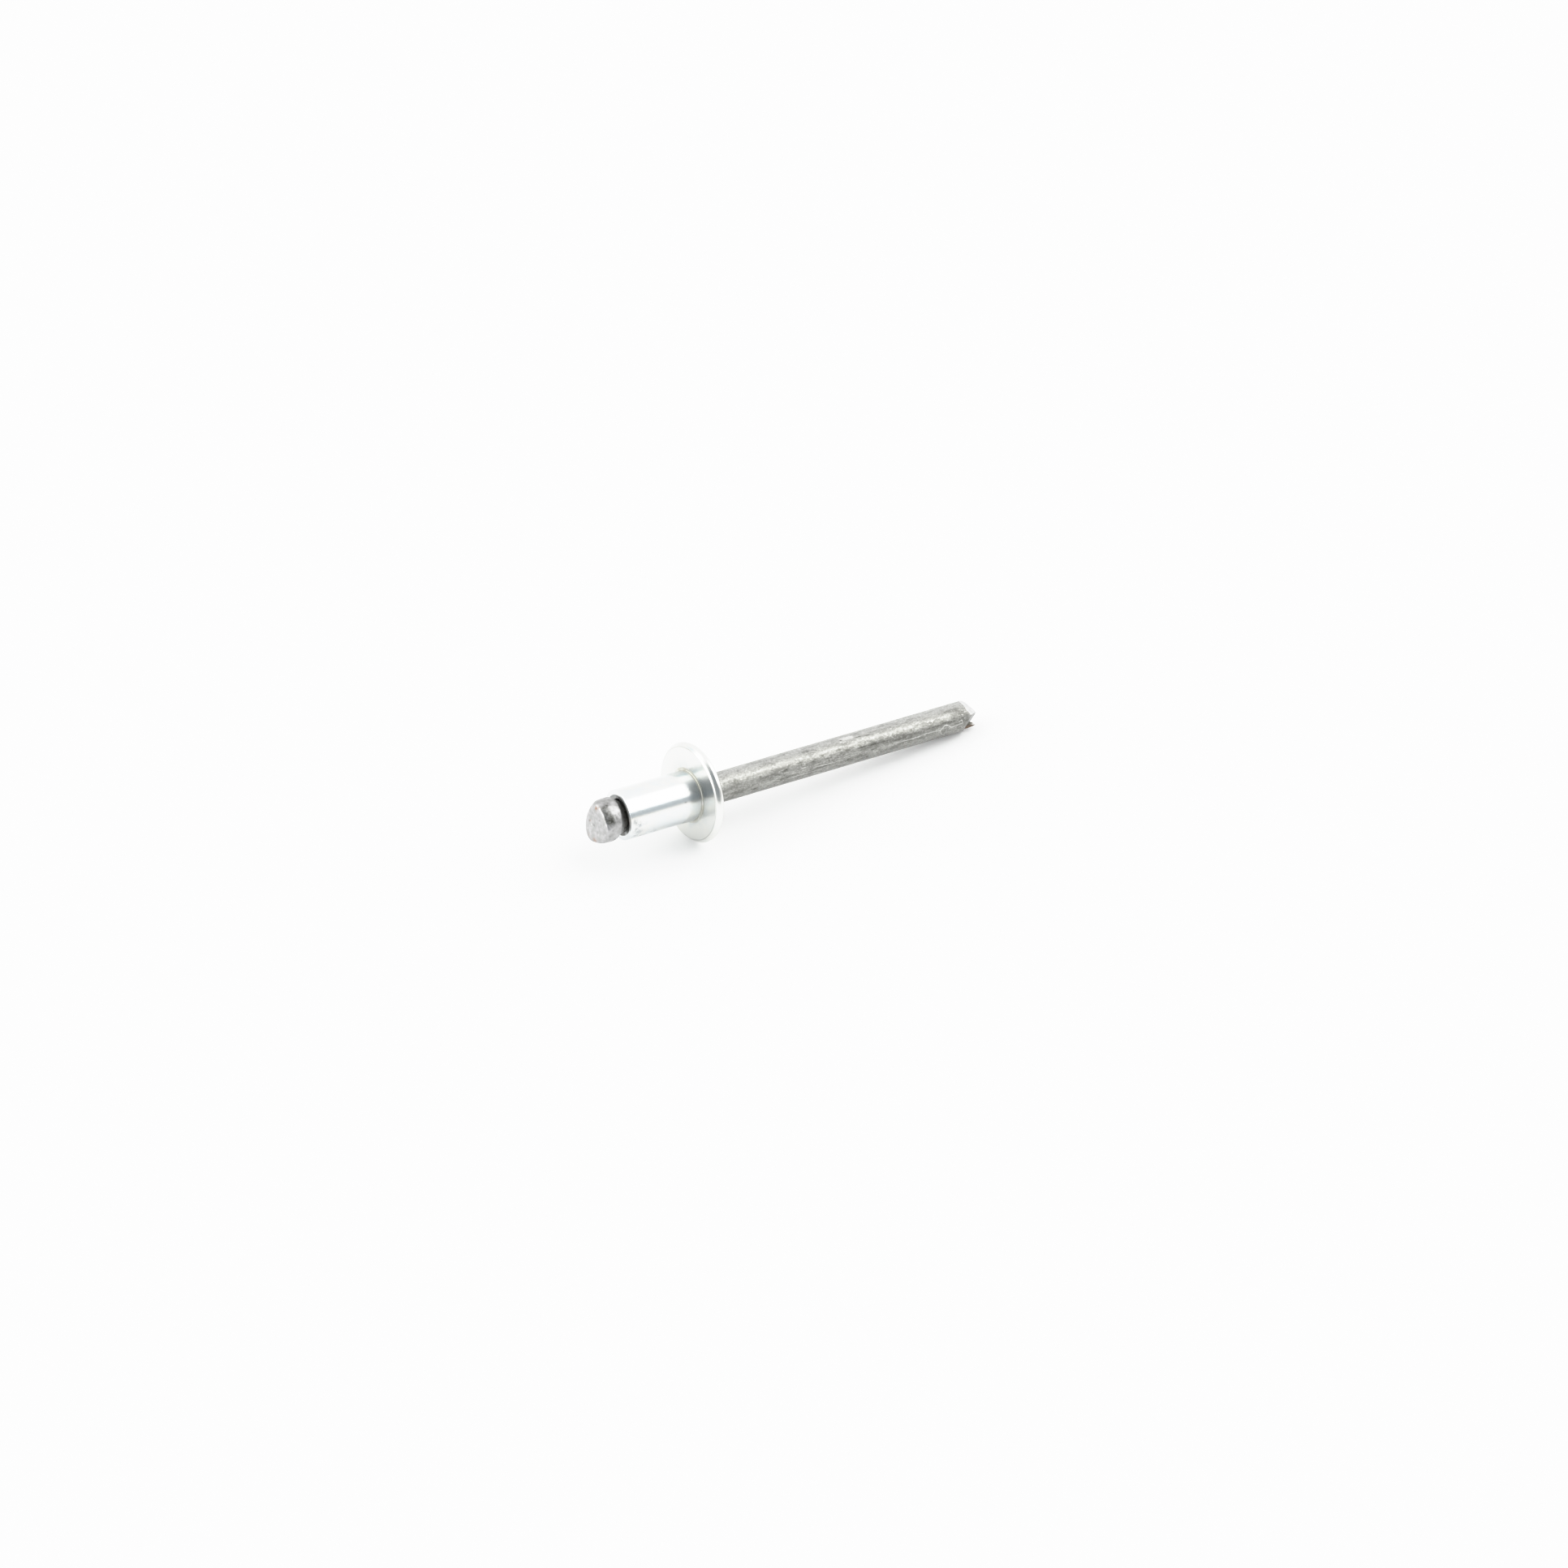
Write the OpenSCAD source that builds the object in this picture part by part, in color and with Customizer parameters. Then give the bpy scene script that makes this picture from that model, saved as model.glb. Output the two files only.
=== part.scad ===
// Open-end blind rivet (pop rivet) with a domed flange, as supplied and not yet set.
// A hollow shell (barrel and flange in one cold-formed piece) sits on a headed mandrel.
// The rivet lies on its side as it comes to rest, on the rim of the flange and on the
// tail of the mandrel. The origin is on the barrel's axis in the plane of the flange's
// seat, +X points towards the mandrel's tail and +Z is up.

/* [Shell] */
// Outer diameter of the barrel
shell_d = 4.8; // [4.6:0.1:5.2]
// Length of the barrel below the flange's seat
shell_len = 7.8; // [6:0.1:12]
// Diameter of the hole through the shell
bore_d = 3; // [2.95:0.05:3.2]
// Rounding of the outer edge at the barrel's open end
shell_edge_r = 0.2; // [0.05:0.05:0.4]
// Extra radius of the dished flare around the barrel's mouth
mouth_flare = 0.35; // [0.05:0.05:0.4]
// Diameter of the flange
flange_d = 9.6; // [8.6:0.1:10.4]
// Thickness of the flange at its rounded rim
flange_rim_t = 0.92; // [0.6:0.02:1]
// Height of the flange's dome above its seat
flange_h = 1.5; // [1.3:0.05:1.9]
// How far the flange is off the barrel's centre, upwards at rest
flange_runout = 0.18; // [0:0.02:0.3]

/* [Mandrel] */
// Diameter of the mandrel's shank
shank_d = 2.9; // [2.6:0.05:2.9]
// Distance from the flange's seat to where the tail's bevels start
shank_end = 31.3; // [24:0.1:36]
// Diameter of the mandrel's head
head_d = 4.06; // [3.8:0.02:4.4]
// Length of the full-width part of the head
head_len = 1.85; // [1.4:0.05:2.6]
// Distance from the barrel's open end to the full width of the head
head_gap = 0.7; // [0.5:0.05:1]
// Rounding of the head's outer end
head_edge_r = 0.25; // [0.1:0.05:0.4]
// Depth of the flat pressed on one side of the head's nose
nose_flat = 0.62; // [0.2:0.02:0.8]

/* [Break notch] */
// Diameter left at the notch where the mandrel snaps
notch_d = 2.4; // [2:0.05:2.6]
// Width of the notch at the shank's surface
notch_w = 0.6; // [0.3:0.05:0.9]
// Distance of the notch inside the barrel's open end
notch_in = 1.6; // [1.2:0.1:3]
// How much the shank's radius thins inside the shell, towards the notch
shank_thin = 0.02; // [0.01:0.01:0.05]

/* [Tail] */
// Angle of the two main bevels to the mandrel's axis
bevel_a = 31; // [25:1:45]
// Turn of the ridge between the two main bevels about the mandrel's axis
ridge_turn = 18; // [0:1:40]
// Length of the pinched point beyond the start of the bevels
point_len = 2.05; // [1.2:0.05:2.2]
// Angle of the side bevel to the mandrel's axis
side_bevel_a = 29; // [26:1:50]

/* [Hidden] */
$fn = 96;

shell_r = shell_d / 2;
bore_r = bore_d / 2;
flange_r = flange_d / 2;
rim_r = flange_rim_t / 2;
shank_r = shank_d / 2;
head_r = head_d / 2;
notch_r = notch_d / 2;

// The dome is part of a sphere that meets the rounded rim without a corner.
dome_a = flange_r - rim_r;
dome_b = rim_r - flange_h;
dome_r = (dome_a * dome_a + dome_b * dome_b - rim_r * rim_r) / (-2 * (dome_b + rim_r));

// Both the head's underside and the barrel's mouth are cones of this slope.
cone_top = 1;
cone_slope = (head_r - shank_r) / cone_top;
// Radial room between the two cones
cone_room = 0.03;
// The head's cone starts this far below the flange's seat
cone_start = shell_len + head_gap - cone_top;
mouth_r = shank_r + (shell_len - cone_start) * cone_slope + cone_room;
mouth_depth = (mouth_r - bore_r) / cone_slope;
// The flare starts on the mouth's cone at this depth.
flare_depth = min(0.2, 0.75 * mouth_depth);
flare_slope = mouth_flare / flare_depth + cone_slope;
nose_x = shell_len + head_gap + head_len;

// Tilt at rest, where the flange's rim and the tail's lower edge touch one level plane.
rest_a = dome_a - flange_runout - shank_r;
rest_b = shank_end + 0.1 - rim_r;
tilt = atan(rest_a / rest_b) + asin(rim_r / sqrt(rest_a * rest_a + rest_b * rest_b));

// A block whose face lies square to [cos(a) along +X, sin(a) along the direction
// at the angle turn about X from +Z], at the point [x, 0, 0] shifted out by off.
module beyond(x, off, a, turn)
    rotate([turn, 0, 0])
        translate([x, 0, off])
            rotate([0, -a, 0])
                translate([0, -10, -10])
                    cube([10, 20, 20]);

// Shell: barrel, mouth and domed flange around one hole
module rivet_body() {
    color([0.86, 0.88, 0.9])
    rotate([0, tilt, 0])
    difference() {
        union() {
            // barrel with its rounded outer edge
            rotate([0, -90, 0]) {
                translate([0, 0, -0.5])
                    cylinder(r = shell_r, h = shell_len - shell_edge_r + 0.5);
                cylinder(r = shell_r - shell_edge_r, h = shell_len);
                translate([0, 0, shell_len - shell_edge_r])
                    rotate_extrude()
                        translate([shell_r - shell_edge_r, 0])
                            circle(r = shell_edge_r);
            }
            // flange: flat seat, rounded rim and shallow dome
            translate([0, 0, flange_runout]) rotate([0, 90, 0]) {
                cylinder(r = dome_a, h = flange_rim_t);
                translate([0, 0, rim_r])
                    rotate_extrude()
                        translate([dome_a, 0])
                            circle(r = rim_r);
                intersection() {
                    translate([0, 0, flange_h - dome_r]) sphere(r = dome_r, $fn = 240);
                    translate([0, 0, rim_r])
                        cylinder(r = dome_a * dome_r / (dome_r - rim_r), h = flange_h);
                }
            }
        }
        // hole for the mandrel
        rotate([0, 90, 0])
            translate([0, 0, -shell_len - 1])
                cylinder(r = bore_r, h = shell_len + flange_h + 2);
        // conical mouth that seats the mandrel's head
        rotate([0, -90, 0])
            translate([0, 0, shell_len - mouth_depth])
                cylinder(r1 = bore_r, r2 = mouth_r + cone_slope, h = mouth_depth + 1);
        // dished flare around the mouth
        rotate([0, -90, 0])
            translate([0, 0, shell_len - flare_depth])
                cylinder(r1 = mouth_r - cone_slope * flare_depth, r2 = mouth_r + mouth_flare + 0.1 * flare_slope, h = flare_depth + 0.1);
        // slight countersink on the dome
        rotate([0, 90, 0])
            translate([0, 0, flange_h - 0.25])
                cylinder(r1 = bore_r, r2 = bore_r + 0.3, h = 0.3);
    }
}

// Mandrel: upset head, conical underside, snap notch, drawn shank and pinched tail
module mandrel() {
    color([0.6, 0.6, 0.58])
    rotate([0, tilt, 0]) {
        difference() {
            // head, cone, notch and shank turned about one axis
            rotate([0, -90, 0]) union() {
                rotate_extrude()
                    polygon([
                        [0, -shank_end - point_len],
                        [shank_r, -shank_end - point_len],
                        [shank_r, -flange_h],
                        [shank_r - shank_thin, shell_len - notch_in - notch_w],
                        [notch_r, shell_len - notch_in - notch_w / 2 - 0.1],
                        [notch_r, shell_len - notch_in - notch_w / 2 + 0.1],
                        [shank_r - shank_thin, shell_len - notch_in],
                        [shank_r - shank_thin, cone_start - shank_thin / cone_slope],
                        [head_r, shell_len + head_gap],
                        [head_r, nose_x - head_edge_r],
                        [head_r - head_edge_r, nose_x - head_edge_r],
                        [head_r - head_edge_r, nose_x],
                        [0, nose_x]
                    ]);
                translate([0, 0, nose_x - head_edge_r])
                    rotate_extrude()
                        translate([head_r - head_edge_r, 0])
                            circle(r = head_edge_r);
            }
            // flat pressed on the far upper side of the nose
            mirror([1, 0, 0])
                beyond(nose_x, head_r - nose_flat, 48, -58);
            // two smaller flats beside it
            mirror([1, 0, 0])
                beyond(nose_x, head_r - nose_flat * 0.6, 46, 22);
            mirror([1, 0, 0])
                beyond(nose_x, head_r - nose_flat * 0.3, 40, 118);
            // shallow flat worn on the near side
            mirror([1, 0, 0])
                beyond(nose_x, head_r - nose_flat * 0.5, 58, 53);
            // two main bevels of the pinched tail
            beyond(shank_end, shank_r, 90 - bevel_a, ridge_turn);
            beyond(shank_end, shank_r, 90 - bevel_a, ridge_turn + 180);
            // side bevel that breaks the near end of the ridge
            beyond(shank_end, shank_r, 90 - side_bevel_a, ridge_turn + 95);
            // torn end of the ridge, a little out of square
            beyond(shank_end + point_len, 0, 18, ridge_turn - 90);
        }
        // thin burr left beside the ridge
        intersection() {
            rotate([ridge_turn + 125, 0, 0])
                translate([0, 0.15, 0])
                    rotate([90, 0, 0])
                        linear_extrude(0.3)
                            polygon([
                                [shank_end - 0.4, 0.4],
                                [shank_end - 0.4, 1.3],
                                [shank_end + 0.85, 1.27],
                                [shank_end + 1.68, 1.2],
                                [shank_end + 1.35, 0.84],
                                [shank_end + 0.7, 0.4]
                            ]);
            rotate([0, 90, 0]) cylinder(r = shank_r, h = shank_end + 3);
        }
    }
}

rivet_body();
mandrel();
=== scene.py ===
import bpy
import math
import numpy as np
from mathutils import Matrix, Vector

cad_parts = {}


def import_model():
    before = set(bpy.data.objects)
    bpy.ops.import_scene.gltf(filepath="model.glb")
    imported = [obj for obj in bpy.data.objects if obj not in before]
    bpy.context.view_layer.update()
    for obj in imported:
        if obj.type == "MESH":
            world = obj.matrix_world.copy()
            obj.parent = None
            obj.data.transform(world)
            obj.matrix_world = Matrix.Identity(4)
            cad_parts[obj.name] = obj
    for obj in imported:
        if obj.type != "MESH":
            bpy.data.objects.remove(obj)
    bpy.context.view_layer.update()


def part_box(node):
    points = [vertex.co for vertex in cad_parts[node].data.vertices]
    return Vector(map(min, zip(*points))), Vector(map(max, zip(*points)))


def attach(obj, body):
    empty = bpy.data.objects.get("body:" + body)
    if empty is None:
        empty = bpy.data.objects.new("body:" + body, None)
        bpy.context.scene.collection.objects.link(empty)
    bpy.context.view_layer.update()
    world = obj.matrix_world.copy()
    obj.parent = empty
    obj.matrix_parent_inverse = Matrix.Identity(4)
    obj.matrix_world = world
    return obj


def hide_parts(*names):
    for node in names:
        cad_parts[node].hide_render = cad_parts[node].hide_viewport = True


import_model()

MM = 0.001

# ---------------------------------------------------------------- dimensions, as in the CAD
SHELL_R, SHELL_LEN, BORE_R, SHELL_EDGE = 2.4, 7.8, 1.5, 0.2
FLANGE_R, RIM_R, FLANGE_H, RUNOUT = 4.8, 0.46, 1.5, 0.18
SHANK_R, SHANK_END, HEAD_R = 1.45, 31.3, 2.03
RIM_U, NOSE_U = -8.5, -10.35
CONE_SLOPE = HEAD_R - SHANK_R
DOME_A = FLANGE_R - RIM_R
DOME_B = RIM_R - FLANGE_H
DOME_R = (DOME_A ** 2 + DOME_B ** 2 - RIM_R ** 2) / (-2 * (DOME_B + RIM_R))
MOUTH_R = SHANK_R + 0.3 * CONE_SLOPE + 0.03
MOUTH_DEPTH = (MOUTH_R - BORE_R) / CONE_SLOPE
MOUTH_FLARE = 0.35
REST_A = DOME_A - RUNOUT - SHANK_R
REST_B = SHANK_END + 0.1 - RIM_R
TILT = math.atan(REST_A / REST_B) + math.asin(RIM_R / math.hypot(REST_A, REST_B))
CT, ST = math.cos(TILT), math.sin(TILT)
FLOOR_Z = min(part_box("rivet_body")[0].z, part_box("mandrel")[0].z)

# Local axes: u runs along the rivet, and the turn angle goes from the upper normal
# towards -Y. phi counts from the side that faces the camera, downwards.
FACING = 53.29


def world(u, r, turn, yo=0.0, no=0.0):
    """Points in metres from u, radius and turn (radians) about the axis."""
    n = r * np.cos(turn) + no
    y = -r * np.sin(turn) + yo
    return np.stack([u * CT + n * ST, y + 0 * u, -u * ST + n * CT], -1) * MM


def smooth(x, a, b):
    t = np.clip((x - a) / (b - a), 0, 1)
    return t * t * (3 - 2 * t)


def hashed(ix, iy, iz, seed):
    h = (ix * 374761393 + iy * 668265263 + iz * 2147483647 + seed * 1274126177) & 0xFFFFFFFF
    h = ((h ^ (h >> 13)) * 1274126177) & 0xFFFFFFFF
    return ((h ^ (h >> 16)) & 0xFFFF) / 32767.5 - 1


def noise3(p, scale, seed=0):
    """Smooth value noise between -1 and 1 at points p (mm), with features of the size scale."""
    q = p / scale
    i = np.floor(q).astype(np.int64)
    f = q - i
    f = f * f * (3 - 2 * f)
    out = 0
    for dx in (0, 1):
        for dy in (0, 1):
            for dz in (0, 1):
                w = (f[..., 0] if dx else 1 - f[..., 0]) * (f[..., 1] if dy else 1 - f[..., 1]) * (f[..., 2] if dz else 1 - f[..., 2])
                out = out + w * hashed(i[..., 0] + dx, i[..., 1] + dy, i[..., 2] + dz, seed)
    return out


def line_distance(u, s, pts):
    """Distance from points (u, s) to a polyline, and which side of it they lie on (positive towards +s)."""
    best = np.full(u.shape, 1e9)
    side = np.zeros(u.shape)
    for (u0, s0), (u1, s1) in zip(pts[:-1], pts[1:]):
        du, ds = u1 - u0, s1 - s0
        t = np.clip(((u - u0) * du + (s - s0) * ds) / (du * du + ds * ds), 0, 1)
        a, b = u - u0 - t * du, s - s0 - t * ds
        d = np.hypot(a, b)
        near = d < best
        best = np.where(near, d, best)
        side = np.where(near, np.sign(du * (s - s0) - ds * (u - u0)), side)
    return best, side


def closed_grid(name, pts, attributes, wrap_rows, ends):
    """A mesh from a grid of points [row, segment]. It wraps around the segments, and around the rows or onto two end points."""
    rows, segs = pts.shape[:2]
    verts = pts.reshape(-1, 3)
    r = np.arange(rows if wrap_rows else rows - 1)[:, None]
    s = np.arange(segs)[None, :]
    a = r * segs + s
    b = r * segs + (s + 1) % segs
    c = ((r + 1) % rows) * segs + (s + 1) % segs
    d = ((r + 1) % rows) * segs + s
    quads = np.stack([a, b, c, d], -1).reshape(-1, 4)
    faces = [tuple(q) for q in quads.tolist()]
    if not wrap_rows:
        first, last = len(verts), len(verts) + 1
        verts = np.vstack([verts, ends[0], ends[1]])
        for i in range(segs):
            faces.append((first, (i + 1) % segs, i))
            j = (rows - 1) * segs
            faces.append((last, j + i, j + (i + 1) % segs))
    mesh = bpy.data.meshes.new(name)
    mesh.from_pydata(verts.tolist(), [], faces)
    for key, value in attributes.items():
        value = value.reshape(-1)
        if not wrap_rows:
            value = np.append(value, [value[0], value[-1]])
        mesh.attributes.new(key, "FLOAT", "POINT").data.foreach_set("value", value.astype(np.float32))
    return mesh


def finish_mesh(mesh, sharp_deg):
    """Adds the local coordinates in mm (u, y, n) that the materials read, and shades the mesh."""
    co = np.zeros(len(mesh.vertices) * 3, np.float32)
    mesh.vertices.foreach_get("co", co)
    co = co.reshape(-1, 3) / MM
    local = np.stack([co[:, 0] * CT - co[:, 2] * ST, co[:, 1], co[:, 0] * ST + co[:, 2] * CT], -1)
    mesh.attributes.new("local_mm", "FLOAT_VECTOR", "POINT").data.foreach_set("vector", local.astype(np.float32).ravel())
    mesh.polygons.foreach_set("use_smooth", np.ones(len(mesh.polygons), bool))
    mesh.set_sharp_from_angle(angle=math.radians(sharp_deg))
    mesh.validate()
    mesh.update()


def add(name, mesh, material):
    o = bpy.data.objects.new(name, mesh)
    bpy.context.scene.collection.objects.link(o)
    mesh.materials.append(material)
    return o


# ---------------------------------------------------------------- shell: barrel, flange and hole
def shell_mesh():
    segs = 288
    prof = []  # u, radius about its own centre, share of the flange's run-out

    def line(p, q, n, last=False):
        for i in range(n + (1 if last else 0)):
            t = i / n
            prof.append(tuple(p[k] + (q[k] - p[k]) * t for k in range(3)))

    def arc(cu, cr, rad, a0, a1, n, c=0.0):
        for i in range(n):
            a = math.radians(a0 + (a1 - a0) * i / n)
            prof.append((cu + rad * math.sin(a), cr + rad * math.cos(a), c))

    end = -SHELL_LEN
    # cone of the mouth, its dished flare, the narrow end face and the rounded outer edge
    line((end + MOUTH_DEPTH, BORE_R, 0), (end + 0.2, MOUTH_R - 0.2 * CONE_SLOPE, 0), 2)
    lip = MOUTH_R + MOUTH_FLARE + 0.12
    line((end + 0.2, MOUTH_R - 0.2 * CONE_SLOPE, 0), (end + 0.02, lip - 0.03, 0), 10)
    for q in ((0.008, -0.012), (0.0, 0.004), (0.0, 0.03), (0.012, 0.10), (0.03, 0.17), (0.045, 0.21), (0.058, 0.238), (0.07, 0.25), (0.085, 0.256), (0.12, 0.257)):
        prof.append((end + q[0], lip + q[1] * (SHELL_R - lip) / 0.257, 0.0))
    # barrel, with rows closer together at both ends
    fillet = 0.07
    n = 84
    for i in range(n):
        t = i / n
        t = t - 0.11 * math.sin(2 * math.pi * t) / (2 * math.pi) * 2
        prof.append((end + 0.2 + (SHELL_LEN - 0.2 - fillet) * t, SHELL_R, 0.0))
    # root fillet
    for i in range(8):
        a = math.radians(90 * i / 8)
        prof.append((-fillet + fillet * math.sin(a), SHELL_R + fillet - fillet * math.cos(a), 0.0))
    # flat seat, over which the centre moves to the flange's own
    n = 40
    for i in range(n):
        t = i / n
        prof.append((0.0, SHELL_R + fillet + (DOME_A - SHELL_R - fillet) * t, float(smooth(np.array(t), 0, 0.9))))
    # rounded rim, up to where the dome's sphere takes over
    tangent = math.degrees(math.atan2(DOME_A, DOME_R - FLANGE_H + RIM_R))
    bend = np.radians(np.linspace(0, 180 - tangent, 241))
    pace = 0.45 + 1.2 * smooth(np.degrees(bend), 36, 46) * (1 - smooth(np.degrees(bend), 68, 82)) + 0.45 * smooth(np.degrees(bend), 76, 100)
    along, outward = np.cumsum(pace * np.sin(bend)), np.cumsum(pace * np.cos(bend))
    k90 = int(np.argmax(outward))
    outward = np.where(np.arange(241) <= k90, RIM_R * outward / outward[k90], RIM_R - (RIM_R - RIM_R * math.cos(math.radians(90 - tangent))) * (outward[k90] - outward) / (outward[k90] - outward[-1]))
    along = along / along[-1] * (RIM_R + RIM_R * math.sin(math.radians(90 - tangent)))
    first_rim = len(prof)
    picks = np.unique(np.interp(np.linspace(0, 1, 34), np.linspace(0, 1, 241), np.arange(241)).astype(int))[:-1]
    for i in picks:
        prof.append((float(along[i]), DOME_A + float(outward[i]), 1.0))
    bends = {first_rim + j: math.degrees(bend[i]) for j, i in enumerate(picks)}
    r0 = DOME_A + RIM_R * math.cos(math.radians(90 - tangent))
    n = 40
    for i in range(n):
        t = i / n
        r = r0 + (BORE_R + 0.29 - r0) * t
        prof.append((None, r, 1 - float(smooth(np.array(t), 0.1, 0.97))))
    # countersink and hole
    line((FLANGE_H - 0.02, BORE_R + 0.27, 0), (FLANGE_H - 0.25, BORE_R, 0), 4)
    line((FLANGE_H - 0.25, BORE_R, 0), (end + MOUTH_DEPTH, BORE_R, 0), 14)

    turn = np.linspace(0, 2 * np.pi, segs, endpoint=False)
    rows = []
    for u, r, c in prof:
        rr = np.full(segs, float(r))
        no = RUNOUT * c
        if u is None:
            # on the dome, whose axis is the flange's own
            n_ = rr * np.cos(turn) + no
            y_ = -rr * np.sin(turn)
            q = np.hypot(y_, n_ - RUNOUT)
            uu = FLANGE_H - DOME_R + np.sqrt(DOME_R ** 2 - q ** 2)
        else:
            uu = np.full(segs, float(u))
        rows.append(np.stack([uu, rr, turn, np.full(segs, no)], -1))
    g = np.array(rows)
    u, r, t, no = (g[..., k] for k in range(4))
    p = world(u, r, t, 0.0, no)
    local = np.stack([u, -r * np.sin(t), r * np.cos(t) + no], -1)
    outer = (r > SHELL_R - SHELL_EDGE - 0.01) & (u < -0.3)
    # cold forming leaves the barrel a few thousandths out of true, and its edge a little uneven
    swell = 0.004 * noise3(local * np.array([0.45, 1, 1]), 1.6, 3) + 0.0015 * noise3(local * np.array([0.5, 1, 1]), 0.5, 4)
    edge = smooth(-u, SHELL_LEN - 0.35, SHELL_LEN - 0.05) * (r > 2.0)
    mouth_side = (1 - np.clip(np.cos(t - math.radians(FACING)), 0, 1)) * (u < -7.4) * smooth(r, 1.8, 2.1) * (1 - smooth(r, 2.2, 2.36))
    r = r + np.where(outer, swell, 0) + edge * 0.02 * noise3(local, 0.9, 5) - 0.13 * mouth_side
    # the open end isn't cut quite square, and reaches a little further on the near side
    slant = smooth(-u, SHELL_LEN - 1.2, SHELL_LEN - 0.1) * (r > BORE_R + 0.05)
    u = u - slant * (0.20 * np.cos(t - math.radians(FACING)) - 0.02 * noise3(local, 1.1, 6))
    ring = (u > -0.01) & (r > SHELL_R + 0.1)
    u = u + np.where(ring, 0.004 * noise3(local, 1.5, 7), 0)
    p = world(u, r, t, 0.0, no)
    phi = np.degrees(t) - FACING
    phi = (phi + 180) % 360 - 180
    s = np.radians(phi) * SHELL_R
    smudge = np.zeros(u.shape)
    for u0, s0, wu, ws, k in ((-7.5, 1.1, 0.26, 0.26, 1.0), (-7.1, 1.45, 0.36, 0.28, 0.95), (-6.6, 1.45, 0.32, 0.14, 0.6), (-7.35, 1.85, 0.25, 0.3, 0.7), (-7.0, 2.3, 0.4, 0.3, 0.7), (-7.3, 2.95, 0.4, 0.3, 0.55), (-6.3, 3.3, 0.5, 0.3, 0.5), (-5.2, 3.0, 0.5, 0.25, 0.3)):
        smudge = np.maximum(smudge, k * np.exp(-((u - u0) / wu) ** 2 - ((s - s0) / ws) ** 2))
    speck = np.exp(-((u + 1.86) / 0.06) ** 2 - ((s - 0.6) / 0.05) ** 2)
    outer = outer.astype(float)
    # painted shade in the mouth, lighter where the floor and sky would show in it, and the yellowish line where the
    # barrel meets the flange
    mouth_shade = smooth(-u, SHELL_LEN - 0.45, SHELL_LEN - 0.25) * (1 - smooth(r + 0.13 * mouth_side, MOUTH_R + MOUTH_FLARE + 0.03, MOUTH_R + MOUTH_FLARE + 0.14))
    mouth_shade = mouth_shade * (1 - 0.38 * smooth(-phi, 45, 85) * (u < -7.55) - 0.5 * np.exp(-((phi - 78) / 9) ** 2) * (u < -7.6)) * (0.9 + 0.1 * noise3(local, 0.25, 10))
    off = np.hypot(u, r - SHELL_R - 0.1)
    joint = np.exp(-((off - 0.07) / 0.10) ** 2) * (0.6 + 0.3 * noise3(local, 0.4, 8)) * (r > SHELL_R - 0.05)
    # a fine dark line painted all round, in the crease where the flange's flat face turns into its rim: partly dirt
    # there, partly a painted dark reflection
    bent = np.full(u.shape, -90.0)
    for row, value in bends.items():
        bent[row] = value
    crease_dirt_and_reflection = np.exp(-((bent - 26) / 9) ** 2) * (0.46 + 0.14 * noise3(local, 0.6, 9))
    # painted shade and dark reflection in the corner where the barrel meets the flange
    corner = np.exp(-(off / 0.75) ** 2) * (r > SHELL_R - 0.05)
    # the plating is bluer along one side of the barrel and yellowish on the flange; on the barrel the blue band and the
    # warm band next to it are partly painted reflection, the tints of a reflected dark strip
    blue_tint_and_reflection = outer * smooth(phi, -2, 5) * (1 - smooth(phi, 11, 16))
    warm_tint_and_reflection = smooth(r, SHELL_R + 0.1, SHELL_R + 0.6) + outer * smooth(phi, 12, 17) * (1 - smooth(phi, 20, 28))
    return closed_grid("rivet_shell", p, {"smudge": smudge * outer, "speck": speck * outer, "mouth_shade": mouth_shade, "joint": joint, "corner": corner, "blue_tint_and_reflection": blue_tint_and_reflection, "warm_tint_and_reflection": warm_tint_and_reflection, "crease_dirt_and_reflection": crease_dirt_and_reflection}, True, None)


# ---------------------------------------------------------------- mandrel
HEAD_C = -9.4  # the nose is drawn as rays from this point on the axis
NOSE_PLANES = [  # turn in degrees, angle of the plane's normal to the axis, distance out at the nose's plane
    (-58, 48, HEAD_R - 0.62),
    (20, 60, HEAD_R - 0.28),
    (118, 40, HEAD_R - 0.62 * 0.3),
    (50, 62, HEAD_R - 0.36),
    (-79, 43, HEAD_R - 0.52),
    (170, 45, HEAD_R - 0.02),
    (250, 42, HEAD_R - 0.12),
]
RIDGE, SIDE, BURR = 12.0, 113.0, 143.0
MAIN_A, SIDE_A = 59.0, 61.0
MAIN_U, MAIN_STEEP = SHANK_END + 0.34, 54.2
SIDE_U = SHANK_END - 0.18
POINT_U = SHANK_END + 2.05
SCOOP = 0.20
SEAM = [(21.0, 0.82), (22.65, 0.76), (23.8, 0.78), (24.95, 0.80), (25.6, 0.77), (26.4, 0.71), (27.2, 0.72), (27.8, 0.74), (28.2, 0.82)]


def rounded(pts):
    """A smooth curve through the points."""
    p = np.array([pts[0], *pts, pts[-1]], float)
    out = []
    for i in range(len(pts) - 1):
        a, b, c, d = p[i:i + 4]
        for t in (0, 0.25, 0.5, 0.75):
            out.append(tuple(0.5 * (2 * b + (c - a) * t + (2 * a - 5 * b + 4 * c - d) * t * t + (3 * b - a - 3 * c + d) * t ** 3)))
    return out + [tuple(pts[-1])]


def seam_points():
    """The pinched fold near the tail: a long crest that ends in a lobe, then wanders to the bevel."""
    lobe_up = [(28.2, 0.82), (28.45, 0.64), (28.68, 0.47), (28.97, 0.46), (29.22, 0.57), (29.38, 0.75)]
    wander = [(29.38, 0.75), (29.68, 0.80), (29.98, 0.78), (30.28, 0.75), (30.55, 0.72), (30.83, 0.72), (30.87, 0.48), (30.65, 0.42), (30.45, 0.5)]
    lobe_low = [(28.2, 0.82), (28.30, 1.10), (28.55, 1.34), (28.8, 1.38)]
    return tuple(rounded(c) for c in (SEAM, lobe_up, wander, lobe_low))


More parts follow.
